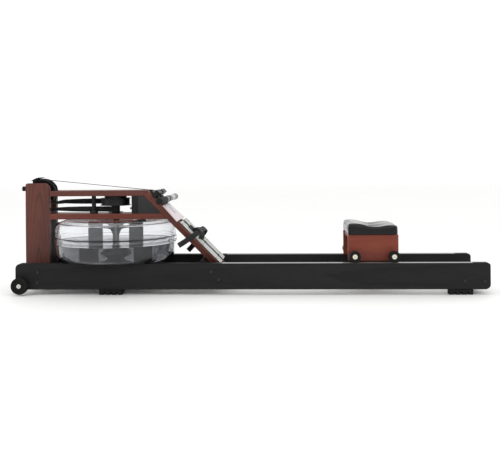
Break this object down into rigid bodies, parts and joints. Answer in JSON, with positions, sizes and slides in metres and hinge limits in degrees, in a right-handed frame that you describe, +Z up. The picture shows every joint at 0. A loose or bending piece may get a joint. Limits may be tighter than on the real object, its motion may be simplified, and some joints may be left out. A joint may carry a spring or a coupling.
{
  "type": "water rowing machine",
  "caption": "Low rowing machine with a clear water tank and paddle, sliding padded seat on twin rails, sloping foot plates and a strap-driven handle",
  "frame": {"origin": "middle of the footprint, on the floor that the feet stand on", "axes": "+X from the transport wheels to the tail, +Y across to the far rail, +Z up"},
  "size_m": [2.095, 0.566, 0.5193],
  "materials": {
    "black_wood": "black stained satin",
    "stained_wood": "stained walnut, clear satin varnish",
    "red_wood": "red-brown stain, clear satin varnish",
    "track": "light grey",
    "rubber": "matte black",
    "black_plastic": "moulded black",
    "grey_plastic": "moulded light grey",
    "display": "clear-coated panel",
    "grip_grey": "soft grey grip",
    "infill": "textured dark grey",
    "steel": "zinc plated",
    "webbing": "black webbing",
    "clear": "clear polycarbonate",
    "pad": "black moulded skin over foam",
    "paddle": "dark grey",
    "hub": "cream"
  },
  "bodies": {
    "frame": {"bulkhead": "black_plastic", "bumper_far": "rubber", "bumper_near": "rubber", "display_panel": "display", "filler_plug": "black_plastic", "foot_front_far": "rubber", "foot_front_near": "rubber", "foot_plate_far": "grey_plastic", "foot_plate_near": "grey_plastic", "foot_rear_far": "rubber", "foot_rear_near": "rubber", "foot_strap_far": "webbing", "foot_strap_near": "webbing", "footboard_cross_plank": "black_wood", "front_cross_plank": "black_wood", "front_leg_far": "stained_wood", "front_leg_near": "stained_wood", "handle_rest": "black_plastic", "leg_spacer": "black_wood", "lower_deck": "stained_wood", "main_strap": "webbing", "rail_far": "black_wood", "rail_near": "black_wood", "rear_spacer": "black_wood", "recoil_strap": "webbing", "shaft_bush": "black_plastic", "side_infill_far": "infill", "side_infill_near": "infill", "strap_guide_post": "black_plastic", "stringer_far": "stained_wood", "stringer_near": "stained_wood", "tank_lower": "clear", "tank_upper": "clear", "top_pulley_axle": "steel", "top_pulley_guard": "black_plastic", "track_strip_far": "track", "track_strip_near": "track", "transport_bolt_far": "steel", "transport_bolt_near": "steel", "upper_deck": "stained_wood"},
    "seat": {"seat_side_near": "red_wood", "seat_side_far": "red_wood", "seat_base": "red_wood", "seat_pad": "pad", "seat_axle_front": "hub", "seat_axle_rear": "hub"},
    "seat_wheel_front_near": {"seat_wheel_front_near": "rubber"},
    "seat_wheel_front_far": {"seat_wheel_front_far": "rubber"},
    "seat_wheel_rear_near": {"seat_wheel_rear_near": "rubber"},
    "seat_wheel_rear_far": {"seat_wheel_rear_far": "rubber"},
    "transport_wheel_near": {"transport_wheel_near": "rubber"},
    "transport_wheel_far": {"transport_wheel_far": "rubber"},
    "handle": {"handle_bar": "grip_grey", "strap_clamp": "black_plastic", "pull_strap": "webbing"},
    "top_pulley": {"top_pulley": "black_plastic"},
    "recoil_pulley": {"recoil_pulley": "black_plastic"},
    "drum": {"strap_drum": "black_plastic", "recoil_drum": "black_plastic"},
    "paddle": {"paddle": "paddle"}
  },
  "joints": [
    {"name": "seat_slide", "type": "slide", "parent": "frame", "child": "seat", "axis": [1, 0, 0], "range_m": [-0.5, 0.28]},
    {"name": "seat_wheel_front_near_spin", "type": "hinge", "parent": "seat", "child": "seat_wheel_front_near", "pos_m": [0.46595, -0.156, 0.1639], "axis": [0, 1, 0], "continuous": true},
    {"name": "seat_wheel_front_far_spin", "type": "hinge", "parent": "seat", "child": "seat_wheel_front_far", "pos_m": [0.46595, 0.156, 0.1639], "axis": [0, 1, 0], "continuous": true},
    {"name": "seat_wheel_rear_near_spin", "type": "hinge", "parent": "seat", "child": "seat_wheel_rear_near", "pos_m": [0.63705, -0.156, 0.1639], "axis": [0, 1, 0], "continuous": true},
    {"name": "seat_wheel_rear_far_spin", "type": "hinge", "parent": "seat", "child": "seat_wheel_rear_far", "pos_m": [0.63705, 0.156, 0.1639], "axis": [0, 1, 0], "continuous": true},
    {"name": "transport_wheel_near_spin", "type": "hinge", "parent": "frame", "child": "transport_wheel_near", "pos_m": [-1.0105, -0.193, 0.0436], "axis": [0, 1, 0], "continuous": true},
    {"name": "transport_wheel_far_spin", "type": "hinge", "parent": "frame", "child": "transport_wheel_far", "pos_m": [-1.0105, 0.193, 0.0436], "axis": [0, 1, 0], "continuous": true},
    {"name": "handle_pull", "type": "slide", "parent": "frame", "child": "handle", "axis": [0.9903, 0, 0.1392], "range_m": [0, 1.1], "deforming": ["pull_strap"]},
    {"name": "top_pulley_spin", "type": "hinge", "parent": "frame", "child": "top_pulley", "pos_m": [-0.966, 0, 0.45], "axis": [0, 1, 0], "continuous": true},
    {"name": "recoil_pulley_spin", "type": "hinge", "parent": "frame", "child": "recoil_pulley", "pos_m": [-0.975, 0, 0.346], "axis": [0, 1, 0], "continuous": true},
    {"name": "drum_spin", "type": "hinge", "parent": "frame", "child": "drum", "pos_m": [-0.626, 0, 0.404], "axis": [0, 0, 1], "continuous": true},
    {"name": "paddle_spin", "type": "hinge", "parent": "frame", "child": "paddle", "pos_m": [-0.626, 0, 0.25], "axis": [0, 0, 1], "continuous": true}
  ],
  "couplings": [
    {"joint": "seat_wheel_front_near_spin", "follows": "seat_slide", "rad_per_m": 39.682},
    {"joint": "seat_wheel_front_far_spin", "follows": "seat_slide", "rad_per_m": 39.682},
    {"joint": "seat_wheel_rear_near_spin", "follows": "seat_slide", "rad_per_m": 39.682},
    {"joint": "seat_wheel_rear_far_spin", "follows": "seat_slide", "rad_per_m": 39.682},
    {"joint": "top_pulley_spin", "follows": "handle_pull", "rad_per_m": 17.123},
    {"joint": "drum_spin", "follows": "handle_pull", "rad_per_m": 15.129},
    {"joint": "recoil_pulley_spin", "follows": "handle_pull", "rad_per_m": -13.642}
  ]
}
